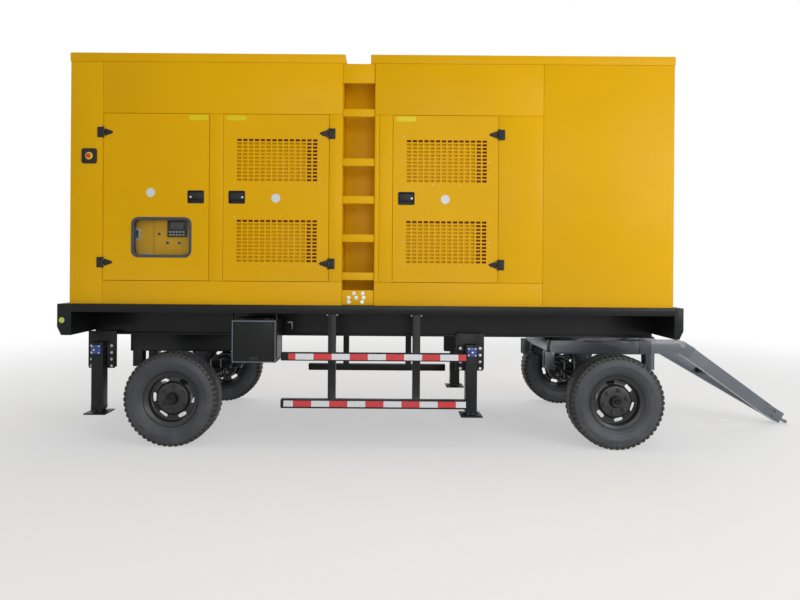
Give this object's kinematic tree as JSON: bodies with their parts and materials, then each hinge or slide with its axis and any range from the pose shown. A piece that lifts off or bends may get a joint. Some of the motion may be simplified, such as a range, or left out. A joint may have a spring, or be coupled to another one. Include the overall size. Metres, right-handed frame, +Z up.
{
  "type": "towable diesel generator",
  "caption": "Soundproof canopy generator set on a four-wheel trailer with a turntable drawbar, landing jacks and hinged service doors",
  "frame": {"origin": "on the ground under the middle of the bounding box", "axes": "+X towards the tow eye, +Y to the left-hand side, +Z up"},
  "size_m": [6.7216, 1.9, 3.305],
  "materials": {
    "canopy_paint": "gloss yellow enamel",
    "chassis_paint": "gloss black enamel",
    "wheel_paint": "black wheel enamel",
    "tyre_rubber": "dusty black rubber",
    "bare_steel": "oiled bare steel",
    "cast_metal": "painted cast metal",
    "radiator_core": "finned core",
    "black_plastic": "moulded black plastic",
    "red_plastic": "moulded red plastic",
    "window_glass": "clear glazing"
  },
  "bodies": {
    "chassis": {"alternator": "cast_metal", "base_fuel_tank": "chassis_paint", "control_cabinet": "canopy_paint", "deck_frame": "chassis_paint", "engine": "cast_metal", "front_end_panel": "canopy_paint", "front_roof": "canopy_paint", "front_side_left": "canopy_paint", "front_side_right": "canopy_paint", "jack_housing_front_left": "chassis_paint", "jack_housing_front_right": "chassis_paint", "jack_housing_rear_left": "chassis_paint", "jack_housing_rear_right": "chassis_paint", "ladder_recess": "canopy_paint", "leaf_spring_rear_left": "chassis_paint", "leaf_spring_rear_right": "chassis_paint", "main_beam_left": "chassis_paint", "main_beam_right": "chassis_paint", "radiator": "radiator_core", "rear_axle": "chassis_paint", "rear_end_panel": "canopy_paint", "rear_roof": "canopy_paint", "rear_side_left": "canopy_paint", "rear_side_right": "canopy_paint", "side_guard_left": "chassis_paint", "side_guard_right": "chassis_paint", "slewing_ring": "bare_steel", "toolbox_body": "chassis_paint"},
    "turntable": {"turntable_frame": "chassis_paint", "front_axle": "chassis_paint", "leaf_spring_front_right": "chassis_paint", "leaf_spring_front_left": "chassis_paint"},
    "drawbar": {"drawbar": "chassis_paint", "tow_eye": "bare_steel"},
    "wheel_rear_right": {"wheel_rim_rear_right": "wheel_paint", "tyre_rear_right": "tyre_rubber"},
    "wheel_rear_left": {"wheel_rim_rear_left": "wheel_paint", "tyre_rear_left": "tyre_rubber"},
    "wheel_front_right": {"wheel_rim_front_right": "wheel_paint", "tyre_front_right": "tyre_rubber"},
    "wheel_front_left": {"wheel_rim_front_left": "wheel_paint", "tyre_front_left": "tyre_rubber"},
    "jack_rear_right": {"jack_leg_rear_right": "chassis_paint"},
    "jack_rear_left": {"jack_leg_rear_left": "chassis_paint"},
    "jack_front_right": {"jack_leg_front_right": "chassis_paint"},
    "jack_front_left": {"jack_leg_front_left": "chassis_paint"},
    "control_door": {"control_door": "canopy_paint", "window_pane": "window_glass"},
    "lock_control_door": {"handle_control_door": "black_plastic"},
    "rear_engine_door_right": {"rear_engine_door_right": "canopy_paint"},
    "lock_rear_engine_door_right": {"handle_rear_engine_door_right": "black_plastic"},
    "front_engine_door_right": {"front_engine_door_right": "canopy_paint"},
    "lock_front_engine_door_right": {"handle_front_engine_door_right": "black_plastic"},
    "rear_engine_door_left": {"rear_engine_door_left": "canopy_paint"},
    "lock_rear_engine_door_left": {"handle_rear_engine_door_left": "black_plastic"},
    "front_engine_door_left": {"front_engine_door_left": "canopy_paint"},
    "lock_front_engine_door_left": {"handle_front_engine_door_left": "black_plastic"},
    "stop_button": {"e_stop_button": "red_plastic"},
    "toolbox_lid": {"toolbox_door": "chassis_paint"},
    "fan": {"fan": "black_plastic"}
  },
  "joints": [
    {"name": "turntable_yaw", "type": "hinge", "parent": "chassis", "child": "turntable", "pos_m": [1.32915, 0, 0.8817], "axis": [0, 0, 1], "range_deg": [-45, 45]},
    {"name": "drawbar_lift", "type": "hinge", "parent": "turntable", "child": "drawbar", "pos_m": [2.07415, 0, 0.81], "axis": [0, -1, 0], "range_deg": [0, 32]},
    {"name": "wheel_spin_rear_right", "type": "hinge", "parent": "chassis", "child": "wheel_rear_right", "pos_m": [-2.42085, -0.8375, 0.39754], "axis": [0, 1, 0], "continuous": true},
    {"name": "wheel_spin_rear_left", "type": "hinge", "parent": "chassis", "child": "wheel_rear_left", "pos_m": [-2.42085, 0.8375, 0.39754], "axis": [0, 1, 0], "continuous": true},
    {"name": "wheel_spin_front_right", "type": "hinge", "parent": "turntable", "child": "wheel_front_right", "pos_m": [1.32915, -0.8375, 0.39754], "axis": [0, 1, 0], "continuous": true},
    {"name": "wheel_spin_front_left", "type": "hinge", "parent": "turntable", "child": "wheel_front_left", "pos_m": [1.32915, 0.8375, 0.39754], "axis": [0, 1, 0], "continuous": true},
    {"name": "jack_drop_rear_right", "type": "slide", "parent": "chassis", "child": "jack_rear_right", "axis": [0, 0, -1], "range_m": [0, 0.21]},
    {"name": "jack_drop_rear_left", "type": "slide", "parent": "chassis", "child": "jack_rear_left", "axis": [0, 0, -1], "range_m": [0, 0.21]},
    {"name": "jack_drop_front_right", "type": "slide", "parent": "chassis", "child": "jack_front_right", "axis": [0, 0, -1], "range_m": [0, 0.21]},
    {"name": "jack_drop_front_left", "type": "slide", "parent": "chassis", "child": "jack_front_left", "axis": [0, 0, -1], "range_m": [0, 0.21]},
    {"name": "control_door_swing", "type": "hinge", "parent": "chassis", "child": "control_door", "pos_m": [-2.99735, -0.9245, 2.096], "axis": [0, 0, -1], "range_deg": [0, 110]},
    {"name": "lock_pull_control_door", "type": "hinge", "parent": "control_door", "child": "lock_control_door", "pos_m": [-2.22185, -0.909, 2.138], "axis": [-1, 0, 0], "range_deg": [0, 40], "stiffness_Nm_per_rad": 0.8, "springref_deg": -5.73},
    {"name": "rear_engine_door_right_swing", "type": "hinge", "parent": "chassis", "child": "rear_engine_door_right", "pos_m": [-1.10535, -0.9245, 2.096], "axis": [0, 0, 1], "range_deg": [0, 110]},
    {"name": "lock_pull_rear_engine_door_right", "type": "hinge", "parent": "rear_engine_door_right", "child": "lock_rear_engine_door_right", "pos_m": [-1.87785, -0.909, 2.138], "axis": [-1, 0, 0], "range_deg": [0, 40], "stiffness_Nm_per_rad": 0.8, "springref_deg": -5.73},
    {"name": "front_engine_door_right_swing", "type": "hinge", "parent": "chassis", "child": "front_engine_door_right", "pos_m": [0.31665, -0.9245, 2.096], "axis": [0, 0, 1], "range_deg": [0, 110]},
    {"name": "lock_pull_front_engine_door_right", "type": "hinge", "parent": "front_engine_door_right", "child": "lock_front_engine_door_right", "pos_m": [-0.45585, -0.909, 2.138], "axis": [-1, 0, 0], "range_deg": [0, 40], "stiffness_Nm_per_rad": 0.8, "springref_deg": -5.73},
    {"name": "rear_engine_door_left_swing", "type": "hinge", "parent": "chassis", "child": "rear_engine_door_left", "pos_m": [-1.10535, 0.9245, 2.096], "axis": [0, 0, -1], "range_deg": [0, 110]},
    {"name": "lock_pull_rear_engine_door_left", "type": "hinge", "parent": "rear_engine_door_left", "child": "lock_rear_engine_door_left", "pos_m": [-1.87785, 0.909, 2.138], "axis": [1, 0, 0], "range_deg": [0, 40], "stiffness_Nm_per_rad": 0.8, "springref_deg": -5.73},
    {"name": "front_engine_door_left_swing", "type": "hinge", "parent": "chassis", "child": "front_engine_door_left", "pos_m": [0.31665, 0.9245, 2.096], "axis": [0, 0, -1], "range_deg": [0, 110]},
    {"name": "lock_pull_front_engine_door_left", "type": "hinge", "parent": "front_engine_door_left", "child": "lock_front_engine_door_left", "pos_m": [-0.45585, 0.909, 2.138], "axis": [1, 0, 0], "range_deg": [0, 40], "stiffness_Nm_per_rad": 0.8, "springref_deg": -5.73},
    {"name": "e_stop_press", "type": "slide", "parent": "chassis", "child": "stop_button", "axis": [0, 1, 0], "range_m": [0, 0.006], "stiffness_N_per_m": 800, "springref_m": -0.003},
    {"name": "toolbox_door_lift", "type": "hinge", "parent": "chassis", "child": "toolbox_lid", "pos_m": [-1.72285, -0.924, 1.0805], "axis": [-1, 0, 0], "range_deg": [0, 95]},
    {"name": "fan_spin", "type": "hinge", "parent": "chassis", "child": "fan", "pos_m": [0.13915, 0, 1.95], "axis": [1, 0, 0], "continuous": true}
  ]
}
